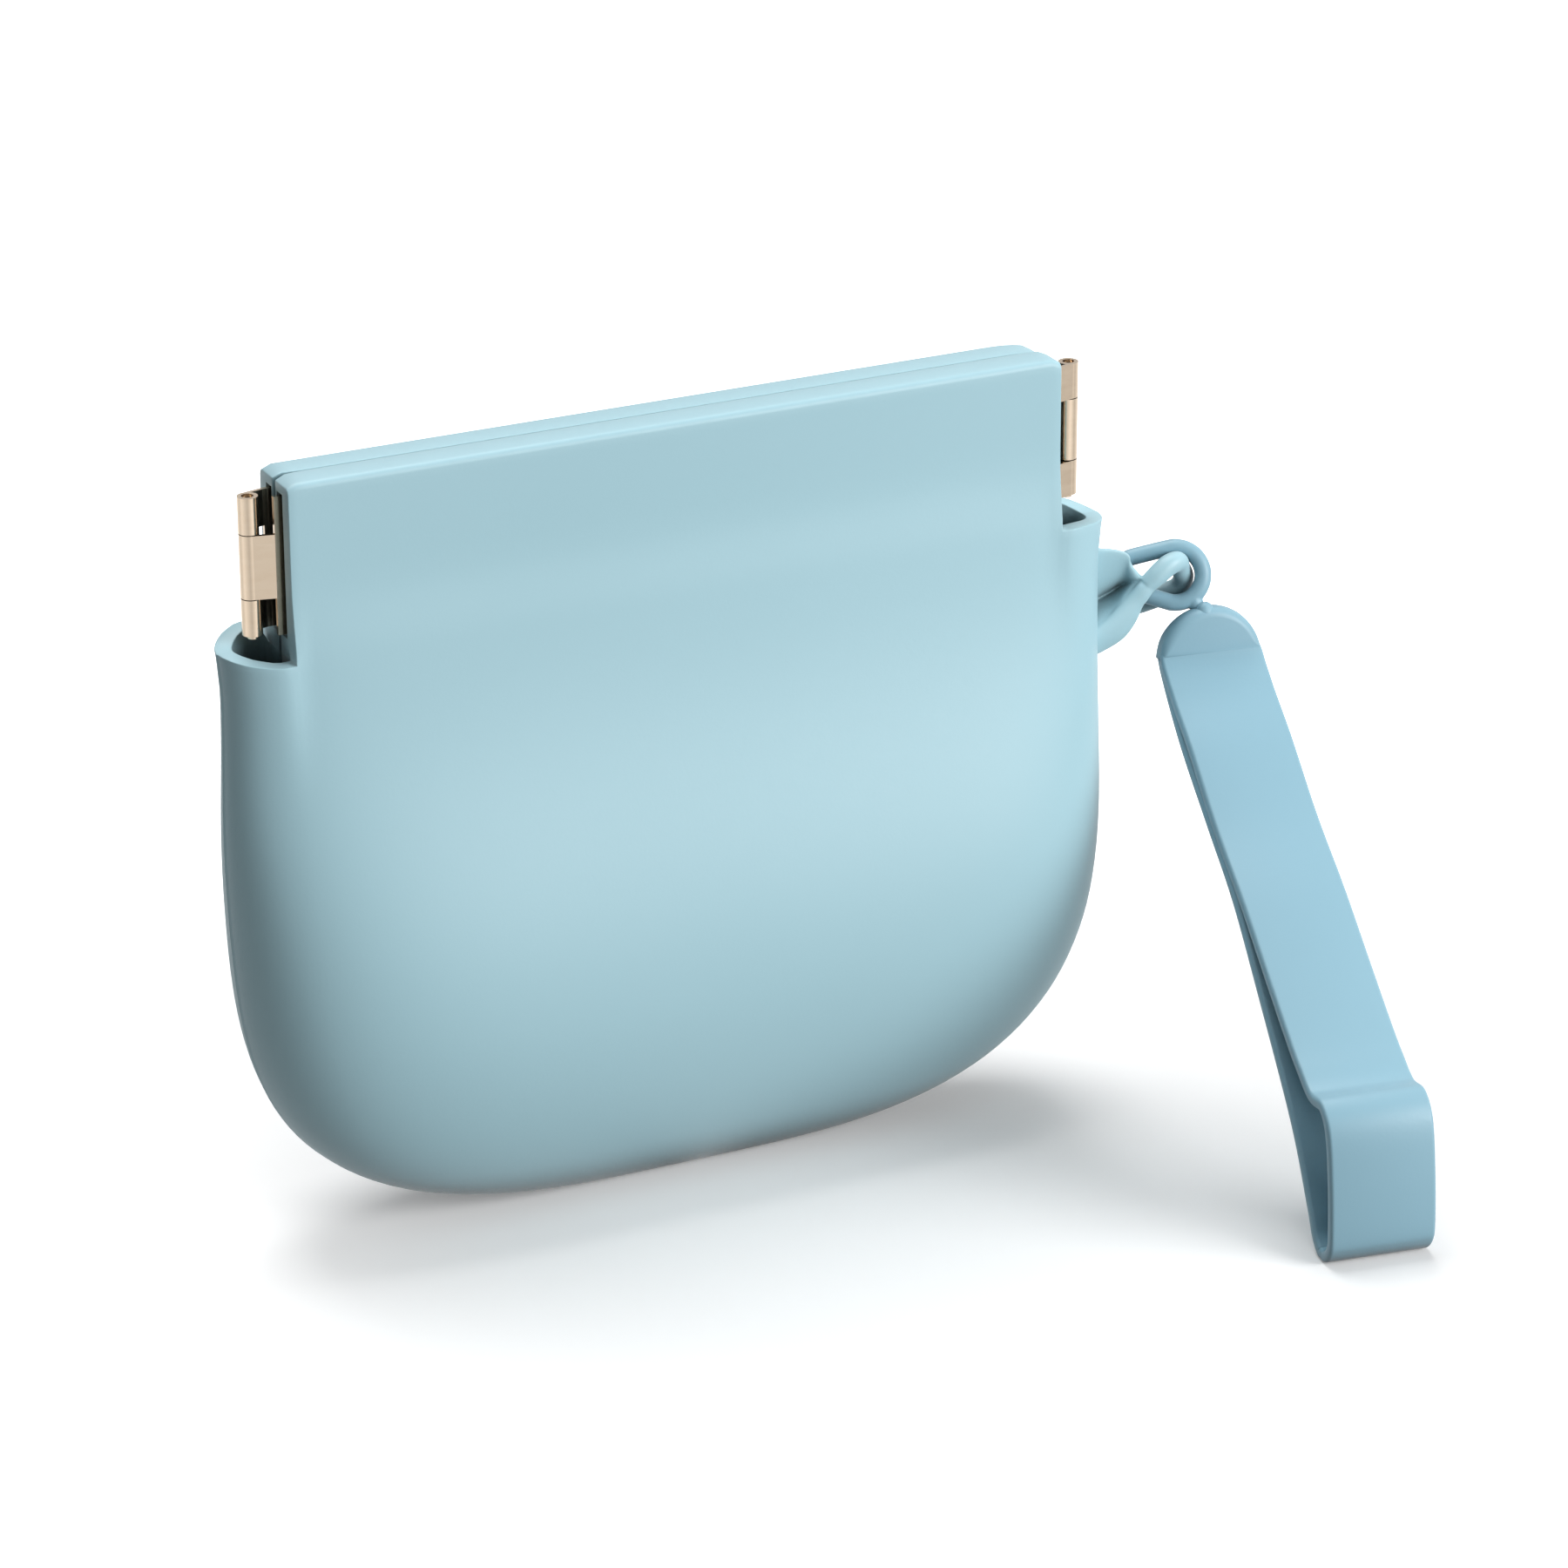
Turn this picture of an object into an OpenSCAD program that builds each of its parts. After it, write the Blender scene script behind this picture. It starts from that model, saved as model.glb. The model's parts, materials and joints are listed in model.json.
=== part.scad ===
// Silicone coin purse with a spring-leaf squeeze frame and a looped wrist strap.
// Millimetres, +Z up, front towards -Y, origin at the middle of the flat strip that the purse stands on.
// The pouch and its lips are one moulding, and each leaf is one strip of spring steel. Both bend when the
// ends are squeezed, so the lips and leaves are cut at the middle of the mouth, where the real ones fold.

/* [Pouch] */
// Widest width of the pouch
pouch_w = 101.6; // [90:0.2:120]
// Deepest depth of the pouch, front to back
pouch_d = 26; // [22:0.5:32]
// Height of the shoulder, where the lips begin
shoulder_h = 66.8; // [58:0.2:80]
// Depth at the shoulder, front to back
shoulder_d = 9.8; // [9:0.1:12]
// Height at which the pouch is widest
widest_h = 42; // [34:0.5:50]
// Height at which the pouch is deepest
belly_h = 24; // [18:0.5:32]
// Thickness of the moulded wall
wall = 1.8; // [1.2:0.1:2.4]
// How far the side rims flare outwards
rim_flare = 0.5; // [0:0.1:1]
// Height of the flared band under the side rims
rim_band = 6; // [3:0.5:10]

/* [Lips] */
// Height of the lips' silicone above the leaves
lip_cover = 1.8; // [0.8:0.1:3]
// Thickness of one lip
lip_t = 3.87; // [3.4:0.01:4.4]
// Length of the mouth, from lip end to lip end
lip_l = 88.8; // [80:0.2:89]
// Radius of the lips' outer top edges
lip_round = 0.9; // [0.3:0.1:1.5]
// Height over which a lip flares forward to meet the pouch
lip_flare_h = 7; // [4:0.5:10]

/* [Spring leaves] */
// Height of a spring leaf
leaf_h = 15; // [12:0.5:18]
// Thickness of a spring leaf
leaf_t = 0.45; // [0.3:0.05:0.55]
// Height of the leaves' lower edge above the shoulder
leaf_lift = 2.4; // [1.5:0.1:3]
// How far the hinge pins stand outside the lips' ends
pin_out = 2.9; // [2.2:0.1:3.2]
// Diameter of a hinge pin
pin_d = 1.2; // [0.9:0.1:1.3]
// Height of an end knuckle, above or below the middle one
end_knuckle_h = 4; // [3:0.5:5]

/* [Strap] */
// Width of the strap band
band_w = 11.6; // [9:0.2:14]
// Thickness of one layer of the band
band_t = 1.3; // [1:0.1:1.6]
// How far the band leans forward before it meets the ground
band_reach = 55.4; // [48:0.2:62]
// Thickness of the round silicone of the strap's ring
ring_t = 1.8; // [1.5:0.1:2.1]
// Length of the strap's ring, from the middle of one bend to the other
ring_l = 4.2; // [3.8:0.1:4.6]
// Thickness of the round silicone of the pouch's ear
ear_t = 2.6; // [2.2:0.1:2.8]
// Depth of the ear's bar, where the ring hangs, below the shoulder
bar_drop = 8.7; // [5:0.1:15]
// Height of the flat tab at the ear's root
tab_h = 12.5; // [8:0.5:16]

/* [Hidden] */

silicone = [0.66, 0.82, 0.88];
gold = [0.86, 0.78, 0.66];

// Overrun of every cut
over = 1;
// Running fit of a pin in its knuckles, and the gap between two knuckles
pin_fit = 0.04;
knuckle_gap = 0.1;
// Room for a leaf in its channel: behind it, in front of it, and above and below it
channel_back = 0.25;
channel_front = 0.6;
channel_end = 0.3;
// Silicone of a lip behind its channel
lip_back = 0.93;
// Half of the leaf's middle that folds, and the gap to the leaf beside it
fold_half = 0.7;
fold_gap = 0.5;
// How far a pin stands out of the lowest knuckle and lies inside the highest
pin_tail = 0.4;
// Least gap between the strap's ring and the ear, and how far the ring hangs from the bar beyond it
link_gap = 0.15;
hang = 0.6;
// Radius of the neck bead and its gap to the ring's stub
bead_r = 0.96;
bead_gap = 0.15;

// Pouch: depth of the line that the bottom rounds to, and the depth of the cut that flattens it
base_d = 2.4;
base_cut = 0.25;
// Powers of the outline and of the level sections' ends
outline_power = 3.05;
low_power = 2.6;
top_power = 12;
section_n = 56;
outer_n = 15;
inner_n = 12;
flare_n = 6;

lip_h = leaf_lift + leaf_h + lip_cover;
top_h = shoulder_h + lip_h;
bar_h = shoulder_h - bar_drop;
lip_half = lip_l / 2;
pin_x = lip_half + pin_out;
leaf_y = lip_back + channel_back + leaf_t / 2;
leaf_z = shoulder_h + leaf_lift;
pin_r = pin_d / 2;
bore_r = pin_r + pin_fit;
barrel_r = bore_r + leaf_t;
// The leaf turns in to its knuckles just outside the lip
turn_out = 0.7;
turn_x = lip_half + turn_out;

// Ear and ring: the link is turned and tipped back so that the ring faces the front left
link_turn = 26;
link_tip = 22.65;
bar_out = 10.6;
ear_rise = 28;
ring_droop = 2;
ring_r = ring_t / 2;
ear_r = ear_t / 2;
// Bends of the ear and of the ring's two ends, so that each clears the other's round section
ear_bend = ring_r + ear_r + link_gap;
ring_bend = ear_bend + hang;
far_share = 0.655;
far_bend = far_share * ring_bend;
ring_taper = asin((ring_bend - far_bend) / ring_l);
hang_angle = 65;
// The ring's stub and the bead of the neck below it
neck_angle = 52.6;
stub_share = 1.3;
stub_l = stub_share * ring_r;
neck_reach = ring_bend + stub_l + bead_gap + bead_r;
// The ear's root on the side wall: lowest and highest points above the bar, as shares of tab_h
tab_t = 1.8;
low_root_shares = [-0.744, -0.31];
high_root_shares = [-0.27, 0.33];
back_root_shares = [-0.42, -0.1];
back_root_y = 1.8;
// Legs of the ear, from the bar, and the shares of the ear's thickness they narrow to
front_leg = 2;
back_leg = 5.2;
leg_share = 0.8;
tip_share = 0.75;
// Corners of the front sheet, right of and above the bar in the link's frame, and their thickness
low_corner = [-5.7, -2.2, -5.5];
high_corner = [-6.9, -3.6, 1.3];
corner_r = 0.8;
// Turn of the tips about the legs, which keeps their corners off the legs' seams
tip_turn = 7;

// Point of the link's turned frame, in the purse's frame
function turn_z(p, a) = [p.x * cos(a) - p.y * sin(a), p.x * sin(a) + p.y * cos(a), p.z];
function turn_x_axis(p, a) = [p.x, p.y * cos(a) - p.z * sin(a), p.y * sin(a) + p.z * cos(a)];
function turn_y(p, a) = [p.x * cos(a) + p.z * sin(a), p.y, -p.x * sin(a) + p.z * cos(a)];
function link_point(p) = bar_point + turn_z(turn_x_axis(p, -link_tip), -link_turn);

bar_point = [pouch_w / 2 + bar_out, 0, bar_h];
neck_in_ring = [
    -hang * cos(hang_angle) + neck_reach * cos(neck_angle),
    0,
    -hang * sin(hang_angle) - neck_reach * sin(neck_angle)
];
neck_point = link_point(turn_y(neck_in_ring, ring_droop));

// Band: its side outline as shares of its reach and of the neck's height, from the top end forward and down
band_turn = 8.8;
band_steps = 5;
end_rise = 0.2;
band_top_shares = [[0.030, 0.011], [0.030, -0.070], [0.100, -0.150], [0.262, -0.268]];
band_front_shares = [
    [0.455, -0.362], [0.645, -0.478], [0.790, -0.596], [0.868, -0.672], [0.925, -0.668], [0.968, -0.712],
    [0.990, -0.815], [1.000, -0.930]
];
band_back_shares = [
    [0.992, -0.970], [0.967, -0.996], [0.935, -1.000], [0.902, -0.975], [0.870, -0.920], [0.775, -0.780],
    [0.592, -0.590], [0.445, -0.440]
];
band_end_shares = [[0.300, -0.325], [0.130, -0.215], [0.000, -0.080], [-0.014, 0.000], [-0.010, 0.011]];
// The layers stand apart from the front shares to the back shares
loop_first = len(band_top_shares) * band_steps;
loop_last = loop_first + (len(band_front_shares) + len(band_back_shares) - 1) * band_steps;

// Smooth curve through points, with a number of steps between two of them
function curve_point(p0, p1, p2, p3, t) = 0.5 * (
    2 * p1 + (p2 - p0) * t + (2 * p0 - 5 * p1 + 4 * p2 - p3) * t * t
    + (3 * p1 - p0 - 3 * p2 + p3) * t * t * t
);
function smooth_curve(p, n) = [
    for (i = [0:len(p) - 2], k = [0:n - 1])
        curve_point(p[max(i - 1, 0)], p[i], p[i + 1], p[min(i + 2, len(p) - 1)], k / n),
    p[len(p) - 1]
];

// Half width and half depth of the pouch's outside at a height
function rounded(u, power) = pow(max(0, 1 - pow(u, power)), 1 / power);
function half_w(z) =
    (z < widest_h ? pouch_w / 2 * rounded((widest_h - z) / (widest_h + base_cut), outline_power) : pouch_w / 2)
    + rim_flare * pow(max(0, 1 - (shoulder_h - z) / rim_band), 2);
function half_d(z) =
    z < belly_h
    ? base_d / 2 + (pouch_d - base_d) / 2 * rounded((belly_h - z) / (belly_h + base_cut), 2)
    : shoulder_d / 2
        + (pouch_d - shoulder_d) / 4 * (1 + cos(180 * (z - belly_h) / (shoulder_h - belly_h)));
function end_power(z) = low_power + (top_power - low_power) * pow(z / shoulder_h, 3);

// One level section: a loop of points with blunt ends
function section(w, d, power, z) = [
    for (k = [0:section_n - 1])
        let (a = 360 * k / section_n)
            [
                w * cos(a),
                d * sign(sin(a)) * sqrt(max(0, 1 - pow(abs(cos(a)), power))),
                z
            ]
];
function level(k, n, low) = low + (shoulder_h - low) * (1 - cos(90 * k / n));
// The inside follows the outside a wall further in, and a wall further up at the bottom
function outside(z) = section(half_w(z), half_d(z), end_power(z), z);
function inside(z) =
    let (under = z - wall * max(0, 1 - z / belly_h))
        section(half_w(under) - wall, half_d(under) - wall, end_power(z), z);

// Closed skin over a stack of loops of points, all with as many points
function stack_faces(rings, n) = concat(
    [[for (k = [0:n - 1]) k]],
    [
        for (i = [0:rings - 2], k = [0:n - 1])
            let (a = i * n + k, b = i * n + (k + 1) % n)
                [a, a + n, b + n, b]
    ],
    [[for (k = [n - 1:-1:0]) (rings - 1) * n + k]]
);

module shell() {
    loops = concat(
        [[for (p = outside(0)) [p.x, p.y, -over]]],
        [for (k = [0:outer_n]) outside(level(k, outer_n, 0))],
        [for (k = [inner_n:-1:0]) inside(level(k, inner_n, wall))]
    );
    polyhedron([for (l = loops) for (p = l) p], stack_faces(len(loops), section_n), 10);
}

module at_bar() {
    translate(bar_point) rotate([-link_tip, 0, -link_turn]) children();
}

// Half a torus, open towards -X
module half_ring(bend, r) {
    rotate([0, 0, -90]) rotate_extrude(angle = 180, $fn = 48) translate([bend, 0]) circle(r, $fn = 32);
}

module in_ear(side, l) {
    at_bar() rotate([0, -ear_rise, 0]) translate([-ear_bend - l, side * ear_bend, 0]) children();
}

// Round leg from the ear's bar, which narrows, and the round tip it ends in
module ear_leg(side, l) {
    in_ear(side, l) rotate([0, 90, 0]) cylinder(l, leg_share * ear_r, ear_r, $fn = 32);
}

module ear_tip(side, l) {
    in_ear(side, l) rotate([tip_turn, 0, 0]) sphere(tip_share * ear_r, $fn = 16);
}

module ear_root(shares, y) {
    translate([pouch_w / 2 - wall, y - tab_t / 2, bar_h + shares[0] * tab_h])
        cube([wall / 2, tab_t, (shares[1] - shares[0]) * tab_h]);
}

// The ear: a bar that the strap's ring hangs on, and two folds of a sheet that carry it in front of the ring
module ear() {
    in_ear(0, 0) half_ring(ear_bend, ear_r);
    ear_leg(-1, front_leg);
    ear_leg(1, back_leg);
    hull() {
        ear_root(low_root_shares, 0);
        ear_tip(-1, front_leg);
        at_bar() translate(low_corner) sphere(corner_r, $fn = 16);
    }
    hull() {
        ear_root(high_root_shares, 0);
        ear_tip(-1, front_leg / 2);
        at_bar() translate(high_corner) sphere(corner_r, $fn = 16);
    }
    hull() {
        ear_root(back_root_shares, back_root_y);
        ear_tip(1, back_leg);
    }
}

module pouch() {
    color(silicone) difference() {
        union() {
            shell();
            ear();
        }
        translate([-pouch_w, -pouch_d, -2 * over]) cube([2 * pouch_w, 2 * pouch_d, 2 * over]);
    }
}

// Side profile of the front lip: flared at the bottom, rounded at the outer top edge
lip_profile = concat(
    [[0, shoulder_h]],
    [
        for (k = [0:flare_n])
            [
                -lip_t - (shoulder_d / 2 - lip_t) * (1 + cos(180 * k / flare_n)) / 2,
                shoulder_h + lip_flare_h * k / flare_n
            ]
    ],
    [
        for (a = [0:15:90])
            [
                -lip_t + lip_round * (1 - cos(a)),
                top_h - lip_round * (1 - sin(a))
            ]
    ],
    [[0, top_h]]
);

// The front lip's left half, with the leaf's channel open at both ends
module lip() {
    difference() {
        translate([-lip_half, 0, 0]) rotate([90, 0, 90]) linear_extrude(lip_half) polygon(lip_profile);
        translate([
            -lip_half - over,
            -leaf_y - leaf_t / 2 - channel_front,
            leaf_z - channel_end
        ])
            cube([
                lip_half + 2 * over,
                channel_front + leaf_t + channel_back,
                leaf_h + 2 * channel_end
            ]);
    }
}

// Spans of height of the knuckles: the middle one, or the two end ones
middle_knuckle = [[end_knuckle_h + knuckle_gap / 2, leaf_h - end_knuckle_h - knuckle_gap / 2]];
end_knuckles = [
    [0, end_knuckle_h - knuckle_gap / 2],
    [leaf_h - end_knuckle_h + knuckle_gap / 2, leaf_h]
];

// The front leaf's left half: a straight strip that turns in to knuckles rolled round the pin
module leaf(spans) {
    strip = [
        [-turn_x, -leaf_y - leaf_t / 2], [-fold_half - fold_gap, -leaf_y - leaf_t / 2],
        [-fold_half - fold_gap, -leaf_y + leaf_t / 2], [-turn_x, -leaf_y + leaf_t / 2]
    ];
    tongue = [
        [-turn_x, -leaf_y - leaf_t / 2], [-turn_x, -leaf_y + leaf_t / 2],
        [-pin_x, -bore_r], [-pin_x, -barrel_r]
    ];
    difference() {
        union() {
            translate([0, 0, leaf_z]) linear_extrude(leaf_h) polygon(strip);
            for (s = spans) translate([0, 0, leaf_z + s[0]]) {
                linear_extrude(s[1] - s[0]) polygon(tongue);
                translate([-pin_x, 0, 0]) cylinder(s[1] - s[0], barrel_r, barrel_r, $fn = 48);
            }
        }
        translate([-pin_x, 0, leaf_z - over])
            cylinder(leaf_h + 2 * over, bore_r, bore_r, $fn = 48);
    }
}

module pin() {
    translate([-pin_x, 0, leaf_z - pin_tail]) cylinder(leaf_h, pin_r, pin_r, $fn = 48);
}

module fold() {
    translate([-fold_half, -leaf_y - leaf_t / 2, leaf_z]) cube([2 * fold_half, leaf_t, leaf_h]);
}

module front_lip_left() color(silicone) lip();
module front_lip_right() color(silicone) mirror([1, 0, 0]) lip();
module back_lip_left() color(silicone) mirror([0, 1, 0]) lip();
module back_lip_right() color(silicone) mirror([1, 0, 0]) mirror([0, 1, 0]) lip();
module front_leaf_left() color(gold) leaf(middle_knuckle);
module front_leaf_right() color(gold) mirror([1, 0, 0]) leaf(end_knuckles);
module back_leaf_left() color(gold) mirror([0, 1, 0]) leaf(end_knuckles);
module back_leaf_right() color(gold) mirror([1, 0, 0]) mirror([0, 1, 0]) leaf(middle_knuckle);
module front_leaf_fold() color(gold) fold();
module back_leaf_fold() color(gold) mirror([0, 1, 0]) fold();
module left_pin() color(gold) pin();
module right_pin() color(gold) mirror([1, 0, 0]) pin();

// The strap's ring: a drop shape round the ear's bar, with the stub that its neck grows from
module strap_ring() {
    color(silicone) at_bar() rotate([0, ring_droop, 0])
        translate([-hang * cos(hang_angle), 0, -hang * sin(hang_angle)]) rotate([90, 0, 0]) {
            for (turn = [0, 180])
                rotate([turn, 0, 0]) {
                    ring_arc(ring_bend, 0, 90 + ring_taper);
                    translate([-ring_l, 0, 0]) ring_arc(far_bend, 90 + ring_taper, 180);
                    rotate(90 + ring_taper) translate([ring_bend, 0, 0]) rotate([-90, 0, 0])
                        cylinder(ring_l * cos(ring_taper), ring_r, ring_r, $fn = 32);
                }
            rotate(-neck_angle) translate([ring_bend, 0, 0])
                rotate([0, 90, 0]) cylinder(stub_l, ring_r, ring_r, $fn = 32);
        }
}

module ring_arc(r, from, to) {
    rotate(from) rotate_extrude(angle = to - from, $fn = 64) translate([r, 0]) circle(ring_r, $fn = 32);
}

// The hand loop: one band folded back on itself, its layers joined at the top and apart below
band_outline = [
    for (p = smooth_curve(
        concat(band_top_shares, band_front_shares, band_back_shares, band_end_shares), band_steps
    ))
        [p.x * band_reach, max(-1, p.y) * neck_point.z]
];
function inward(p, i) =
    let (d = p[i + 1] - p[i - 1])
        p[i] + band_t * [d.y, -d.x] / norm(d);
band_loop = [for (i = [loop_first:loop_last]) inward(band_outline, i)];

module band_prism(outline) {
    rotate([90, 0, -90]) linear_extrude(2 * band_w, center = true) polygon(outline);
}

module strap_band() {
    end_z = end_rise - band_w / 2;
    color(silicone) translate(neck_point) rotate([0, 0, -band_turn]) {
        intersection() {
            difference() {
                band_prism(band_outline);
                band_prism(band_loop);
            }
            rotate([90, 0, 0]) linear_extrude(3 * band_reach, center = true) {
                translate([0, end_z]) circle(band_w / 2, $fn = 64);
                translate([-band_w / 2, -neck_point.z - over])
                    square([band_w, neck_point.z + over + end_z]);
            }
        }
        sphere(bead_r, $fn = 32);
    }
}

pouch();
front_lip_left();
front_lip_right();
back_lip_left();
back_lip_right();
front_leaf_left();
front_leaf_right();
back_leaf_left();
back_leaf_right();
front_leaf_fold();
back_leaf_fold();
left_pin();
right_pin();
strap_ring();
strap_band();
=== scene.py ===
"""Looks of the silicone coin purse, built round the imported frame.

Lengths of the part are in millimetres until a mesh is made. Those of materials, floor and lamps are
in metres.
"""
import json
import math

import bpy
import numpy as np
from mathutils import Matrix, Vector

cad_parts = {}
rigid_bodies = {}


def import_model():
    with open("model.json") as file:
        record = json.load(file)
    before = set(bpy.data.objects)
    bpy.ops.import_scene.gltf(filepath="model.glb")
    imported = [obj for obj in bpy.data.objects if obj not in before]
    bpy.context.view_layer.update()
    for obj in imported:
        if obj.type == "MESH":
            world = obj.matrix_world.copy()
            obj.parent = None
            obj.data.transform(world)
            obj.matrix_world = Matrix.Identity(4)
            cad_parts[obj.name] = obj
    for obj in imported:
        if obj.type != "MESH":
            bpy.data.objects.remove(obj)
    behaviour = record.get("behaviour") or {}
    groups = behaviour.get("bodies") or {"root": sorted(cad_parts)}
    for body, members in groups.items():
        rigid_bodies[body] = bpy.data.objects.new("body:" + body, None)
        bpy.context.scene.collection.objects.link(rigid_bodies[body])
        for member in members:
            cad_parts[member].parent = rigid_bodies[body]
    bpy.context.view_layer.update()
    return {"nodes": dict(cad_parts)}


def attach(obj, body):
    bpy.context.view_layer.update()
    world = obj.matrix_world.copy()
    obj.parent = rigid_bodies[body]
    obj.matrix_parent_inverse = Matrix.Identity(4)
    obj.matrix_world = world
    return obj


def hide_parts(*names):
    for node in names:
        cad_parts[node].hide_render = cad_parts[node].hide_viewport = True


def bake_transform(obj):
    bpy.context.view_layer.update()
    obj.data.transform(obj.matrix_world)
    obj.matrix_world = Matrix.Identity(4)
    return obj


MM = 0.001

# Camera of the photograph: angles in degrees, focal length in the photo's pixels, clips in metres
CAMERA_AZIMUTH, CAMERA_ELEVATION, CAMERA_ROLL = -26.0, 22.65, -0.23
CAMERA_DISTANCE, CAMERA_TARGET = 656.3, (13.07, 0.0, 41.28)
CAMERA_FOCAL, PHOTO_SIZE, SENSOR = 6974.05, 1800, 36.0
CLIP_NEAR, CLIP_FAR = 0.01, 20

# Pouch, as in the CAD source, but with fuller ends low down and a wider left side, as the photo asks.
# The powers are for the outline, the level sections' ends (low down, at the top) and the bottom's curve
POUCH_W, POUCH_D = 101.6, 26.0
SHOULDER_H, SHOULDER_D = 66.8, 9.8
WIDEST_H, BELLY_H, WALL = 42.0, 24.0, 1.8
RIM_FLARE, RIM_BAND = 0.5, 6.0
BASE_D, BASE_CUT = 2.4, 0.25
OUTLINE_POWER, LOW_POWER, TOP_POWER, POWER_RISE, BELLY_POWER = 3.2, 4.7, 12.0, 2.2, 1.8
LEFT_BULGE, BULGE_H, BULGE_SPAN = 0.5, 46.0, 12.0

# Lips, with the slope that the wall still has where they begin
LIP_H, LIP_T, LIP_HALF = 19.2, 3.87, 44.4
LIP_ROUND, LIP_FLARE_H, SHOULDER_SLOPE = 0.7, 9.0, 0.095
LIP_GAP, END_GAP, END_GAP_X = 0.1, 0.38, 41.5
TOP_H = SHOULDER_H + LIP_H
SHELF_LOW, SHELF_HIGH = 57.0, 67.3
CORNER_R, CORNER_DROP = 0.8, 0.45
FAR_CORNER_R, FAR_CORNER_DROP = 5.0, 0.95

# The leaf's channel through a lip, with more room in front of the leaf's fold and behind its turned ends
SLOT_LOW, SLOT_HIGH, SLOT_FRONT, SLOT_BACK = 68.9, 84.5, -2.23, -0.93
FOLD_ROOM, FOLD_SPAN = 0.7, 6.0
MOUTH_ROOM, MOUTH_SPAN = 0.22, 1.2

# Link's frame at the ear's bar, the strap's ring in it, and the neck between ring and band
LINK_TURN, LINK_TIP = 26.0, 22.65
BAR = (61.4, 0.0, 58.1)
RING_R, RING_BEND, FAR_BEND, RING_L = 0.95, 3.05, 1.93, 4.2
RING_DROOP, HANG, HANG_ANGLE = 2.0, 0.85, 76.0
NECK_ANGLE = 52.6
NECK = (63.0683, -2.86932, 53.6723)

# Band
BAND_W, BAND_T, BAND_REACH, BAND_TURN, BAND_RISE = 11.95, 1.3, 55.4, 8.8, 0.65
BAND_SHIFT = 0.45


def clear_scene():
    for item in list(bpy.data.objects):
        bpy.data.objects.remove(item, do_unlink=True)


def link(obj):
    bpy.context.scene.collection.objects.link(obj)
    return obj


def mesh_object(name, points, faces, smooth=True):
    """A mesh from points in millimetres."""
    mesh = bpy.data.meshes.new(name)
    mesh.from_pydata([tuple(float(c) * MM for c in p) for p in points], [], faces)
    mesh.validate()
    mesh.update()
    mesh.polygons.foreach_set("use_smooth", [smooth] * len(mesh.polygons))
    return link(bpy.data.objects.new(name, mesh))


def apply_modifiers(obj):
    """Puts the modifiers' result into the mesh."""
    graph = bpy.context.evaluated_depsgraph_get()
    made = bpy.data.meshes.new_from_object(obj.evaluated_get(graph))
    obj.modifiers.clear()
    obj.data = made
    return obj


# ---------------------------------------------------------------- camera


def view_axes():
    a, e = math.radians(CAMERA_AZIMUTH), math.radians(CAMERA_ELEVATION)
    back = Vector((math.sin(a) * math.cos(e), -math.cos(a) * math.cos(e), math.sin(e)))
    right = (-back).cross(Vector((0, 0, 1))).normalized()
    up = right.cross(-back)
    c, s = math.cos(math.radians(CAMERA_ROLL)), math.sin(math.radians(CAMERA_ROLL))
    return c * right + s * up, c * up - s * right, back


def make_camera():
    data = bpy.data.cameras.new("camera")
    camera = link(bpy.data.objects.new("camera", data))
    data.sensor_width = SENSOR
    data.lens = CAMERA_FOCAL * SENSOR / PHOTO_SIZE
    data.clip_start, data.clip_end = CLIP_NEAR, CLIP_FAR
    right, up, back = view_axes()
    place = Vector(CAMERA_TARGET) + back * CAMERA_DISTANCE
    turn = Matrix((right, up, back)).transposed().to_4x4()
    camera.matrix_world = Matrix.Translation(place * MM) @ turn
    bpy.context.scene.camera = camera


# ---------------------------------------------------------------- pouch's form


def rounded(u, power):
    return max(0.0, 1 - u**power) ** (1 / power)


def half_w(z):
    low = rounded((WIDEST_H - z) / (WIDEST_H + BASE_CUT), OUTLINE_POWER) if z < WIDEST_H else 1.0
    flare = max(0.0, 1 - (SHOULDER_H - z) / RIM_BAND) ** 2
    return POUCH_W / 2 * low + RIM_FLARE * flare


def half_d(z):
    if z < BELLY_H:
        under = (BELLY_H - z) / (BELLY_H + BASE_CUT)
        return BASE_D / 2 + (POUCH_D - BASE_D) / 2 * rounded(under, BELLY_POWER)
    t = (z - BELLY_H) / (SHOULDER_H - BELLY_H)
    lean = SHOULDER_SLOPE * (SHOULDER_H - BELLY_H) * t**4 * (1 - t)
    belly = (POUCH_D - SHOULDER_D) / 4 * (1 + math.cos(math.pi * t))
    return SHOULDER_D / 2 + belly + lean


def end_power(z):
    return LOW_POWER + (TOP_POWER - LOW_POWER) * (z / SHOULDER_H) ** POWER_RISE


def end_depth(share, z):
    """How much of the depth is left at a share of the half width."""
    return math.sqrt(max(0.0, 1 - abs(share) ** end_power(z)))


def across(half, share, z):
    """Place across at a share of the half width, with the left side's bulge."""
    bulge = LEFT_BULGE * math.exp(-(((z - BULGE_H) / BULGE_SPAN) ** 2))
    return half * share - bulge * max(0.0, -share) ** 3


def smooth_step(t):
    t = min(1.0, max(0.0, t))
    return t * t * (3 - 2 * t)


# The walls stand out a little beside the lips' ends, as columns that fade out below
COLUMN_OUT, COLUMN_X, COLUMN_LOW = 0.75, (43.0, 46.0), 50.0


def column(x, z):
    low, high = COLUMN_X
    rise = smooth_step((z - COLUMN_LOW) / (SHOULDER_H - COLUMN_LOW))
    return COLUMN_OUT * smooth_step((abs(x) - low) / (high - low)) * rise


def outside(share, z):
    """Point of the outer skin's front half, at a share of the half width from -1 to 1."""
    x = across(half_w(z), share, z)
    return x, -(half_d(z) + column(x, z)) * end_depth(share, z), z


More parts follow.
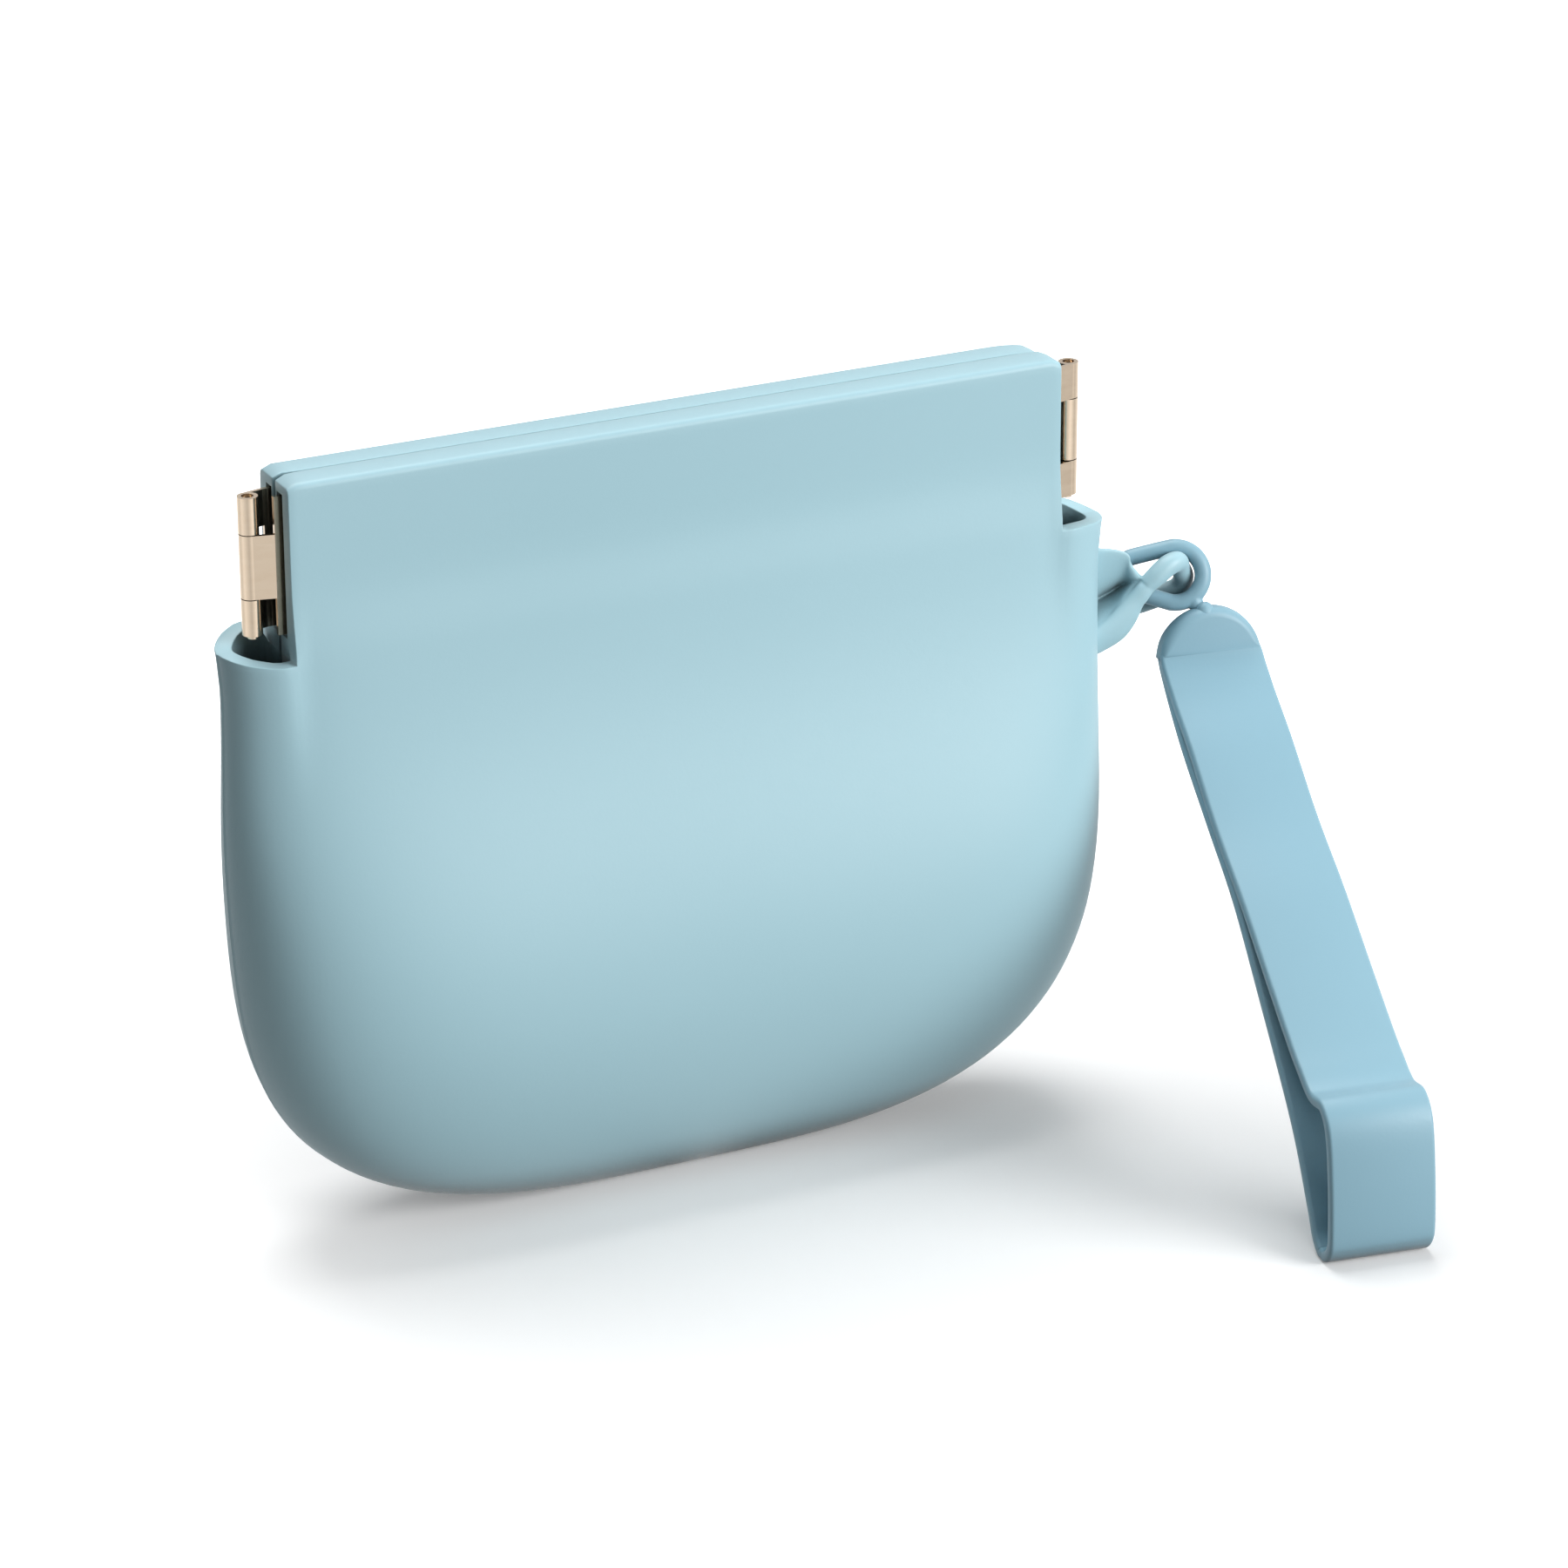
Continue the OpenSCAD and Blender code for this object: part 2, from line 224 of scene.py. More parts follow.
def inside(share, z):
    """Point of the inner skin's front half, which lies further above the outer one towards the bottom."""
    under = z - WALL * max(0.0, 1 - z / BELLY_H)
    x = across(half_w(under) - WALL, share, z)
    return x, -(half_d(under) - WALL + column(x, z)) * end_depth(share, z), z


# Share of the half width at which the lips end, outside at the shoulder
OUTER_EDGE = LIP_HALF / half_w(SHOULDER_H)
# Columns of points beside the lips' ends, as shares of the way to the side's middle
EDGE_SHARES = (0.10, 0.22, 0.36, 0.50, 0.63, 0.74, 0.83, 0.90, 0.945, 0.972, 0.988, 0.9965, 0.9985, 1.0)
# The parting line's ridge, and the share of the half width from which a column lies on it
PARTING_RIDGE, ON_PARTING = 0.12, 0.99999
# Columns in the lips' span, and how much closer together they are at its ends
LIP_COLUMNS, END_CROWD = 56, 0.35


def inner_edge(z):
    under = max(z, SHELF_LOW)
    return LIP_HALF / (half_w(under) - WALL)


def column_keys(shares):
    """Names of the columns, from the left side's middle over the lips' span to the right side's."""
    edges = range(len(EDGE_SHARES))
    lips = [("lip", i) for i in range(len(shares))]
    return [("left", k) for k in reversed(edges)] + lips + [("right", k) for k in edges]


def share_at(key, shares, edge):
    """A column's share of the half width, where the lips' span ends at the share called edge."""
    kind, k = key
    if kind == "lip":
        return shares[k] * edge
    side = -1 if kind == "left" else 1
    return side * (edge + (1 - edge) * EDGE_SHARES[k])


def column_shares():
    """The lips' columns as shares of their span, from -1 to 1, closer together at its ends."""
    even = [2 * i / LIP_COLUMNS - 1 for i in range(LIP_COLUMNS + 1)]
    return [math.sin(math.pi / 2 * u) * END_CROWD + u * (1 - END_CROWD) for u in even]


def rising(low, high, rows, count):
    """Heights of rows that lie closer together low down."""
    return [low + (high - low) * (1 - math.cos(math.pi / 2 * k / rows)) for k in range(count)]


# Heights of the rows of points: outside, inside up to the shelf under the lips, shelf, and lips
OUTER_ROWS, INNER_ROWS, SHELF_ROWS, RIM_ROW = 50, 30, 8, 1.0
WALL_ZS = rising(0, SHOULDER_H, OUTER_ROWS, OUTER_ROWS - 1) + [SHOULDER_H - RIM_ROW, SHOULDER_H]
INNER_ZS = rising(WALL, SHELF_LOW, INNER_ROWS, INNER_ROWS + 1)
SHELF_ZS = [SHELF_LOW + (SHOULDER_H - SHELF_LOW) * k / SHELF_ROWS for k in range(1, SHELF_ROWS + 1)]
LIP_ZS = [68.1, SLOT_LOW, 70.2, 71.5, 72.8, 74.2, 76.5, 79, 81.5, 83.4, SLOT_HIGH]
# Angles of the points on the lip's round outer edge, and the place of one more on its flat top
ROUND_ANGLES, TOP_MIDDLE = (0, 22.5, 45, 67.5, 90), 0.45
# Widths of the soft edges: rims and the lips' meeting edge, the lips' ends, the channel's mouth
EDGE_ROUND, END_ROUND, CHANNEL_ROUND, BEVEL_STEPS = 0.45, 0.4, 0.12, 3


def top_drop(x, far_round):
    """How much lower the lip's top is near its ends."""
    radius, drop = (FAR_CORNER_R, FAR_CORNER_DROP) if far_round and x > 0 else (CORNER_R, CORNER_DROP)
    u = max(0.0, (abs(x) - (LIP_HALF - radius)) / radius)
    return drop * (1 - math.sqrt(max(0.0, 1 - min(1.0, u) ** 2)))


def lip_gap(x):
    """Half the gap between the lips, which part a little at their ends."""
    return LIP_GAP + (END_GAP - LIP_GAP) * smooth_step((abs(x) - END_GAP_X) / (LIP_HALF - END_GAP_X))


def lip_front(share, z):
    """Outer face of the lip, which goes on with the wall's slope at the shoulder."""
    shoulder = -outside(share * OUTER_EDGE, SHOULDER_H)[1]
    t = min(1.0, (z - SHOULDER_H) / LIP_FLARE_H)
    lean = SHOULDER_SLOPE * LIP_FLARE_H * t * (1 - t) ** 2
    return -(LIP_T + (shoulder - LIP_T) * (2 * t**3 - 3 * t**2 + 1) - lean)


# The soft side rims wave, by side and half (True for the back one):
# share of the way from the lip's end to the side's middle, and height added there
RIM_WAVES = {
    ("left", True): ((0, 0), (0.15, 1.4), (0.4, 2.3), (0.75, 1.7), (1, 0.9)),
    ("left", False): ((0, 0), (0.3, 0.0), (0.7, 0.4), (1, 0.9)),
    ("right", True): ((0, 0), (0.15, 0.5), (0.4, 0.8), (0.75, 0.2), (1, -0.5)),
    ("right", False): ((0, 0), (0.4, 0.0), (0.8, -0.3), (1, -0.5)),
}
RIM_WAVE_LOW = 55.0


def rim_lift(key, back, z):
    kind, k = key
    if kind == "lip":
        return 0.0
    places, lifts = zip(*RIM_WAVES[kind, back])
    rise = smooth_step((z - RIM_WAVE_LOW) / (SHOULDER_H - RIM_WAVE_LOW))
    return float(np.interp(EDGE_SHARES[k], places, lifts)) * rise


class Skin:
    """A half of the silicone body, made in front: its points by name, faces and soft edges' widths."""

    def __init__(self, back, far_round):
        self.back, self.far_round = back, far_round
        self.points, self.faces, self.names, self.soft = [], [], {}, {}

    def point(self, name, place):
        if name not in self.names:
            self.names[name] = len(self.points)
            self.points.append(place)
        return self.names[name]

    def face(self, *corners):
        self.faces.append(list(corners))

    def strip(self, a, b):
        """Faces between two neighbouring columns."""
        for k in range(len(a) - 1):
            self.face(a[k], b[k], b[k + 1], a[k + 1])

    def soften(self, a, b, width):
        self.soft[frozenset((a, b))] = width

    def soften_line(self, line, width):
        for a, b in zip(line, line[1:]):
            self.soften(a, b, width)

    def lip_z(self, x, z):
        scale = (TOP_H - top_drop(x, self.far_round) - SHOULDER_H) / LIP_H
        return SHOULDER_H + (z - SHOULDER_H) * scale

    def outer_column(self, key, share):
        made = []
        for k, z in enumerate(WALL_ZS):
            x, y, _ = outside(share, z)
            x += math.copysign(PARTING_RIDGE, x) if abs(share) > ON_PARTING else 0.0
            made.append(self.point(("o", key, k), (x, y, z + rim_lift(key, self.back, z))))
        return made

    def inner_column(self, key, shares, zs):
        made = []
        for k, z in enumerate(zs):
            x, y, _ = inside(share_at(key, shares, inner_edge(z)), z)
            made.append(self.point(("i", key, k), (x, y, z + rim_lift(key, self.back, z))))
        return made

    def lip_column(self, i, share):
        """From the shoulder up the lip's front, over its top and down its inner face to the shelf."""
        x = LIP_HALF * share
        gap = lip_gap(x)
        made = []
        for k, z in enumerate(LIP_ZS):
            made.append(self.point(("l", i, k), (x, lip_front(share, z), self.lip_z(x, z))))
        for k, a in enumerate(np.radians(ROUND_ANGLES)):
            z = self.lip_z(x, TOP_H - LIP_ROUND * (1 - math.sin(a)))
            made.append(self.point(("r", i, k), (x, -LIP_T + LIP_ROUND * (1 - math.cos(a)), z)))
        made.append(self.point(("t", i, 0), (x, -LIP_T * TOP_MIDDLE, self.lip_z(x, TOP_H))))
        made.append(self.point(("t", i, 1), (x, -gap, self.lip_z(x, TOP_H))))
        made.append(self.point(("t", i, 2), (x, -gap, self.lip_z(x, TOP_H - LIP_ROUND))))
        for k in reversed(range(len(LIP_ZS))):
            made.append(self.point(("n", i, k), (x, -gap, self.lip_z(x, LIP_ZS[k]))))
        for k in reversed(range(len(SHELF_ZS))):
            made.append(self.shelf_point(i, share, k))
        return made

    def shelf_point(self, i, share, k):
        z = SHELF_ZS[k]
        x, y, _ = inside(share * inner_edge(z), z)
        g = smooth_step((z - SHELF_LOW) / (SHELF_HIGH - SHELF_LOW))
        gap = lip_gap(LIP_HALF * share)
        place = (LIP_HALF * share * g + x * (1 - g), y * (1 - g) - gap * g, z)
        return self.point(("s", i, k), place)


def build_half(name, back, far_round):
    """One half of the body, front or back of the parting line."""
    skin = Skin(back, far_round)
    shares = column_shares()
    last = len(shares) - 1
    keys = column_keys(shares)
    outer, inner = {}, {}
    for key in keys:
        outer[key] = skin.outer_column(key, share_at(key, shares, OUTER_EDGE))
        under_lip = key[0] == "lip" and key[1] not in (0, last)
        inner[key] = skin.inner_column(key, shares, INNER_ZS if under_lip else INNER_ZS + SHELF_ZS)
    lips = [skin.lip_column(i, s) for i, s in enumerate(shares)]
    close_columns(skin, shares, keys, outer, inner, lips)
    channel = build_channel(skin, shares)
    build_end(skin, 0, outer[("lip", 0)], inner[("lip", 0)], channel[0], False)
    build_end(skin, last, outer[("lip", last)], inner[("lip", last)], channel[-1], True)
    return finish_half(name, skin, back)


def close_columns(skin, shares, keys, outer, inner, lips):
    """Faces between neighbouring columns, from the bottom's middle line up to the lips and rims."""
    bottom, floor = {}, {}
    for key in keys:
        x = outside(share_at(key, shares, OUTER_EDGE), 0)[0]
        bottom[key] = skin.point(("b", key), (x, 0.0, 0.0))
    for key in keys:
        x = inside(share_at(key, shares, inner_edge(WALL)), WALL)[0]
        floor[key] = skin.point(("f", key), (x, 0.0, WALL))
    for a, b in zip(keys, keys[1:]):
        in_lip = a[0] == "lip" and b[0] == "lip"
        rows = len(INNER_ZS) if in_lip else min(len(inner[a]), len(inner[b]))
        inner_a, inner_b = inner[a][:rows], inner[b][:rows]
        skin.face(bottom[a], bottom[b], outer[b][0], outer[a][0])
        skin.face(floor[b], floor[a], inner_a[0], inner_b[0])
        skin.strip(outer[a], outer[b])
        skin.strip(inner_b, inner_a)
        if in_lip:
            lip_a, lip_b = lips[a[1]], lips[b[1]]
            close_lip(skin, [outer[a][-1], *lip_a, inner_a[-1]], [outer[b][-1], *lip_b, inner_b[-1]])
        else:
            close_rim(skin, outer[a][-1], outer[b][-1], inner_a[-1], inner_b[-1])


def close_rim(skin, outer_a, outer_b, inner_a, inner_b):
    """The side rim's top between two neighbouring columns."""
    skin.face(outer_a, outer_b, inner_b, inner_a)
    skin.soften(outer_a, outer_b, EDGE_ROUND)
    skin.soften(inner_a, inner_b, EDGE_ROUND)


def close_lip(skin, a, b):
    """The lip between two neighbouring columns, each from the shoulder over the lip to the shelf."""
    skin.strip(a, b)
    edge = 1 + len(LIP_ZS) + len(ROUND_ANGLES) + 1
    skin.soften(a[edge], b[edge], EDGE_ROUND)


def build_channel(skin, shares):
    """The leaf's channel through the lip, from end to end, with room for the fold and the turned ends."""
    rings = []
    for i, share in enumerate(shares):
        x = LIP_HALF * share
        front = SLOT_FRONT - FOLD_ROOM * max(0.0, 1 - abs(x) / FOLD_SPAN)
        back = SLOT_BACK + MOUTH_ROOM * max(0.0, 1 - (LIP_HALF - abs(x)) / MOUTH_SPAN)
        corners = ((front, SLOT_LOW), (front, SLOT_HIGH), (back, SLOT_HIGH), (back, SLOT_LOW))
        rings.append([skin.point(("c", i, k), (x, y, z)) for k, (y, z) in enumerate(corners)])
    for a, b in zip(rings, rings[1:]):
        for k in range(4):
            skin.face(a[k], a[(k + 1) % 4], b[(k + 1) % 4], b[k])
    return rings


def build_end(skin, i, outer, inner, channel, flip):
    """The lip's end face, from the shelf inside the pouch up to the lip's top, round the channel's mouth."""
    def face(*corners):
        skin.face(*(reversed(corners) if flip else corners))

    n, first = len(LIP_ZS), len(INNER_ZS) - 1
    shelf = [inner[first]] + [skin.names[("s", i, k)] for k in range(len(SHELF_ZS))]
    wall = inner[first:]
    for k in range(len(SHELF_ZS)):
        if k == 0:
            face(wall[0], wall[1], shelf[1])
        else:
            face(wall[k], wall[k + 1], shelf[k + 1], shelf[k])
    front = [outer[-1]] + [skin.names[("l", i, k)] for k in range(n)]
    back = [shelf[-1]] + [skin.names[("n", i, k)] for k in range(n)]
    low = LIP_ZS.index(SLOT_LOW) + 1
    high = LIP_ZS.index(SLOT_HIGH) + 1
    c_front_low, c_front_high, c_back_high, c_back_low = channel
    face(front[0], *front[1:low + 1], c_front_low, wall[-1])
    face(wall[-1], c_front_low, c_back_low, *reversed(back[:low + 1]))
    face(*front[low:high + 1], c_front_high, c_front_low)
    face(c_back_low, c_back_high, *reversed(back[low:high + 1]))
    top = [skin.names[("r", i, k)] for k in range(len(ROUND_ANGLES))]
    top += [skin.names[("t", i, k)] for k in range(3)]
    face(front[high], *top, back[high], c_back_high, c_front_high)
    skin.soften_line(front[:high + 1] + top + [back[high]], END_ROUND)
    skin.soften_line(back[:high + 1] + [top[-1]], END_ROUND)
    skin.soften_line(channel + channel[:1], CHANNEL_ROUND)


def finish_half(name, skin, back):
    points = [(x, -y if back else y, z) for x, y, z in skin.points]
    faces = [list(reversed(f)) for f in skin.faces] if back else skin.faces
    obj = mesh_object(name, points, faces)
    weigh_edges(obj, skin.soft)
    bevel = obj.modifiers.new("bevel", "BEVEL")
    bevel.limit_method, bevel.width, bevel.segments = "WEIGHT", EDGE_ROUND * MM, BEVEL_STEPS
    bevel.use_clamp_overlap = True
    return apply_modifiers(obj)


def weigh_edges(obj, soft):
    weights = obj.data.attributes.new("bevel_weight_edge", "FLOAT", "EDGE")
    values = np.zeros(len(obj.data.edges), np.float32)
    for edge in obj.data.edges:
        width = soft.get(frozenset(edge.vertices))
        if width:
            values[edge.index] = width / EDGE_ROUND
    weights.data.foreach_set("value", values)


# ---------------------------------------------------------------- placing the halves


def bend_with_mouth(obj):
    """Puts the half's placing into its points. Nothing bends it with the mouth."""
    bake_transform(obj)


# ---------------------------------------------------------------- swept forms


def curve_point(p0, p1, p2, p3, t):
    """Point between p1 and p2 of the smooth curve through four points."""
    square, cube = 2 * p0 - 5 * p1 + 4 * p2 - p3, 3 * p1 - p0 - 3 * p2 + p3
    return 0.5 * (2 * p1 + (p2 - p0) * t + square * t**2 + cube * t**3)


def smooth_curve(points, steps, closed=False):
    """Points of a smooth curve through the given ones, with so many steps between each two."""
    p = [np.array(q, float) for q in points]
    n = len(p)
    made = []
    for i in range(n if closed else n - 1):
        if closed:
            four = [p[(i + k) % n] for k in (-1, 0, 1, 2)]
        else:
            four = [p[max(i - 1, 0)], p[i], p[i + 1], p[min(i + 2, n - 1)]]
        made += [curve_point(*four, k / steps) for k in range(steps)]
    if not closed:
        made.append(p[-1])
    return made


def link_axes():
    a, e = math.radians(LINK_TURN), math.radians(LINK_TIP)
    right = np.array((math.cos(a), -math.sin(a), 0.0))
    away = np.array((math.cos(e) * math.sin(a), math.cos(e) * math.cos(a), -math.sin(e)))
    up = np.array((math.sin(e) * math.sin(a), math.sin(e) * math.cos(a), math.cos(e)))
    return right, away, up


def at_link(x, y, z):
    right, away, up = link_axes()
    return np.array(BAR) + x * right + y * away + z * up


def unit(v):
    return v / max(1e-9, np.linalg.norm(v))


# Points round a rod's and a sheet's section, and steps of a smooth curve between two given points
ROD_AROUND, SHEET_AROUND = 20, 28
ROD_STEPS, SHEET_STEPS, SHORT_STEPS, RING_STEPS, BAND_STEPS = 6, 6, 4, 3, 8
# Voxel and rounds of smoothing with which parts are fused
EAR_FUSE, RING_FUSE = (0.13, 2), (0.14, 3)


def ring_faces(count, around, closed=False):
    """Faces between neighbouring rings of points, and over both ends of an open row of rings."""
    faces = []
    for i in range(count if closed else count - 1):
        for k in range(around):
            a, b = i * around + k, i * around + (k + 1) % around
            c, d = ((i + 1) % count) * around + k, ((i + 1) % count) * around + (k + 1) % around
            faces.append([a, b, d, c])
    if not closed:
        faces.append(list(reversed(range(around))))
        faces.append([(count - 1) * around + k for k in range(around)])
    return faces


def tube(path, sizes, guides, closed, around=ROD_AROUND):
    """A skin round a path. Sizes gives the half height, along the guide, and the half thickness."""
    n = len(path)
    points = []
    for i, centre in enumerate(path):
        if closed:
            t = unit(path[(i + 1) % n] - path[i - 1])
        else:
            t = unit(path[min(i + 1, n - 1)] - path[max(i - 1, 0)])
        up = unit(guides[i] - (guides[i] @ t) * t)
        side = np.cross(t, up)
        for k in range(around):
            a = 2 * math.pi * k / around
            points.append(centre + sizes[i][0] * math.sin(a) * up + sizes[i][1] * math.cos(a) * side)
    return points, ring_faces(n, around, closed)


def join_parts(name, parts):
    points, faces = [], []
    for p, f in parts:
        faces += [[i + len(points) for i in face] for face in f]
        points += list(p)
    return mesh_object(name, points, faces)


def fuse(obj, voxel, rounds):
    """One soft skin over parts that pass through each other."""
    remesh = obj.modifiers.new("remesh", "REMESH")
    remesh.mode, remesh.voxel_size, remesh.use_smooth_shade = "VOXEL", voxel * MM, True
    smooth = obj.modifiers.new("smooth", "SMOOTH")
    smooth.factor, smooth.iterations = 0.5, rounds
    return apply_modifiers(obj)


# The ear's round bar in the link's frame, with its radius, from the front leg over the ring's plane
# to the back leg
BAR_LINE = ((-3.6, -2.5, -2.05, 1.0), (-2.4, -2.45, -0.95, 1.16), (-1.15, -2.1, 0.15, 1.2),
            (-0.1, -1.3, 0.6, 1.16), (0.3, 0.0, 0.05, 1.12), (0.75, 1.3, -1.0, 1.14),
            (0.1, 2.2, -2.2, 1.2), (-2.2, 2.5, -3.1, 1.25), (-4.6, 2.5, -3.9, 1.25),
            (-6.8, 2.0, -4.4, 1.3), (-8.6, 0.4, -4.7, 1.6), (-10.6, -1.6, -5.0, 1.9))
# Sheets the front leg widens into: points of one edge and of the other, and half the thickness
LOBE = ((-3.0, -2.5, -0.95, -2.2, -2.4, -1.75, 0.8), (-3.75, -2.5, -1.2, -2.65, -2.4, -2.5, 0.9),
        (-4.6, -2.7, -1.8, -3.45, -2.4, -3.55, 0.95), (-5.45, -3.0, -2.8, -4.5, -2.2, -4.85, 0.85),
        (-6.35, -3.3, -3.85, -5.15, -2.0, -6.35, 0.75), (-7.5, -3.6, -5.2, -6.35, -1.9, -8.0, 0.65),
        (-8.9, -3.9, -6.4, -8.3, -2.0, -9.2, 0.65), (-10.8, -4.3, -7.6, -11.0, -2.4, -10.4, 0.7))
WEB = ((-4.3, -2.2, -1.3, -4.5, -2.5, -1.9, 0.35), (-5.3, -1.4, -1.65, -5.4, -2.9, -2.7, 0.35),
       (-6.4, -0.6, -2.15, -6.35, -3.2, -3.85, 0.4), (-7.6, -0.6, -2.75, -7.5, -3.5, -5.2, 0.45),
       (-8.9, -1.1, -3.45, -8.9, -3.8, -6.4, 0.5), (-10.9, -2.0, -4.7, -10.8, -4.2, -7.6, 0.55))
HIGH_SHEET = ((-4.1, -2.6, -1.15, -4.3, -2.2, -1.5, 0.4), (-5.0, -3.4, -0.25, -5.3, -1.4, -1.65, 0.5),
              (-5.7, -4.0, 0.9, -6.2, -0.6, -2.15, 0.5), (-6.6, -4.6, 1.7, -7.4, -0.6, -2.7, 0.55),
              (-8.6, -5.4, 1.95, -8.9, -1.1, -3.45, 0.6), (-10.9, -6.2, 2.0, -10.9, -2.0, -4.7, 0.65))


def link_rows(rows):
    return [(*at_link(*row[:3]), *row[3:]) for row in rows]


def swept(rows, guide, steps=ROD_STEPS):
    """A tube through rows of a centre and a radius."""
    curve = smooth_curve(rows, steps)
    return tube([c[:3] for c in curve], [(c[3], c[3]) for c in curve], [guide] * len(curve), False)


def sheet(rows):
    """A flat sheet through rows of one edge's point, the other edge's point and half the thickness."""
    curve = smooth_curve([(*at_link(*row[:3]), *at_link(*row[3:6]), row[6]) for row in rows], SHEET_STEPS)
    spans = [c[:3] - c[3:6] for c in curve]
    sizes = [(max(c[6], np.linalg.norm(d) / 2), c[6]) for c, d in zip(curve, spans)]
    return tube([(c[:3] + c[3:6]) / 2 for c in curve], sizes, spans, False, SHEET_AROUND)


def build_ear():
    bar = swept(link_rows(BAR_LINE), link_axes()[1])
    ear = join_parts("pouch_ear", [bar, sheet(LOBE), sheet(WEB), sheet(HIGH_SHEET)])
    return fuse(ear, *EAR_FUSE)


# Points of the ring's near and far bend
NEAR_POINTS, FAR_POINTS = 15, 9
# Start of the neck on the ring: place past the middle of its rod, and radius
NECK_STUB = ((-0.4, 0.8), (0.5, 0.9), (1.0, 0.85), (1.4, 0.75))


def ring_place(x, z):
    """Point of the ring's plane, from the middle of its near bend, in the purse's frame."""
    hang, a = math.radians(HANG_ANGLE), math.radians(RING_DROOP)
    x, z = x - HANG * math.cos(hang), z - HANG * math.sin(hang)
    return at_link(x * math.cos(a) + z * math.sin(a), 0.0, -x * math.sin(a) + z * math.cos(a))


def build_ring():
    taper = math.degrees(math.asin((RING_BEND - FAR_BEND) / RING_L))
    path = []
    for centre, bend, start, end, n in ((0, RING_BEND, -90 - taper, 90 + taper, NEAR_POINTS),
                                        (-RING_L, FAR_BEND, 90 + taper, 270 - taper, FAR_POINTS)):
        for k in range(n):
            a = math.radians(start + (end - start) * k / (n - 1))
            path.append(ring_place(centre + bend * math.cos(a), bend * math.sin(a)))
    path = smooth_curve(path, RING_STEPS, closed=True)
    away = link_axes()[1]
    ring = tube(path, [(RING_R, RING_R)] * len(path), [away] * len(path), True)
    a = math.radians(-NECK_ANGLE)
    stub = []
    for reach, radius in NECK_STUB:
        reach += RING_BEND
        stub.append((*ring_place(reach * math.cos(a), reach * math.sin(a)), radius))
    return fuse(join_parts("strap_ring_piece", [ring, swept(stub, away, SHORT_STEPS)]), *RING_FUSE)


# The loop's outline in front and behind: shares of its reach forward and of the neck's height up
FRONT_SHARES = ((0.030, 0.011), (0.031, -0.067), (0.098, -0.131), (0.205, -0.206), (0.350, -0.320),
                (0.500, -0.418), (0.645, -0.524), (0.760, -0.607), (0.815, -0.642), (0.868, -0.670),
                (0.925, -0.668), (0.968, -0.712), (0.990, -0.815), (1.000, -0.930))
BACK_SHARES = ((0.992, -0.970), (0.967, -0.996), (0.935, -1.000), (0.902, -0.975), (0.870, -0.920),
               (0.775, -0.780), (0.592, -0.590), (0.445, -0.447), (0.300, -0.343), (0.130, -0.217),
               (0.000, -0.080), (-0.014, 0.000), (-0.010, 0.011))


# The strip's upper end, and the radius of its edges
STRIP_TOP, STRIP_ROUND, CORNER_STEPS = -2.5, 0.42, 4
# The pad over it: low end, depth of its middle, half its thickness, edge's radius, share of it left
# behind at the low end, lean, height over which it fades into the strip, and how far it stands out
PAD_LOW, PAD_MIDDLE, PAD_HALF, PAD_ROUND, PAD_BACK_LOW = -4.7, 0.42, 1.23, 0.95, 0.3
PAD_LEAN, PAD_FADE, PAD_PROUD = 0.12, 2.4, 0.02
PAD_RISE = BAND_RISE - BAND_W / 2
PAD_ANGLES, PAD_POINTS = (90, 72, 54, 36, 18, 0), 41
# The neck's bead: place behind the neck, height and radius
BEAD_ROWS = ((0.15, 1.1, 0.4), (0.25, 0.8, 0.8), (0.35, 0.35, 1.0), (0.45, -0.1, 1.1), (0.45, -0.9, 1.1),
             (0.4, -1.8, 0.8))


def band_line():
    """Middle line of the band's strip, forward and down from the joined top, then back up to it."""
    shares = FRONT_SHARES + BACK_SHARES
    outline = smooth_curve([(q * BAND_REACH, max(-1.0, z) * NECK[2]) for q, z in shares], BAND_STEPS)
    outline = [np.array((p[0], max(p[1], -NECK[2]))) for p in outline]
    line = []
    for i in range(1, len(outline) - 1):
        d = unit(outline[i + 1] - outline[i - 1])
        line.append(outline[i] + BAND_T / 2 * np.array((d[1], -d[0])))
    return [p for p in line if p[1] < STRIP_TOP]


def pad_share(z):
    """0 where the strip leaves the pad, 1 in the pad itself."""
    return smooth_step((z - PAD_LOW) / PAD_FADE)


def band_half_width(z):
    """The band is round at its top end, and lies inside the pad's softer edge there."""
    half = math.sqrt((BAND_W / 2) ** 2 - max(0.0, z - PAD_RISE) ** 2)
    return half - (PAD_ROUND - STRIP_ROUND) * pad_share(z)


def band_place(x, q, z):
    """Point of the band, by its place across, forward and up from the neck."""
    forward, across, up = band_axes()
    return np.array(NECK) + across * (x + BAND_SHIFT) + forward * q + up * z


def band_axes():
    turn = math.radians(BAND_TURN)
    forward = np.array((-math.sin(turn), -math.cos(turn), 0.0))
    across = np.array((math.cos(turn), -math.sin(turn), 0.0))
    return forward, across, np.array((0.0, 0.0, 1.0))


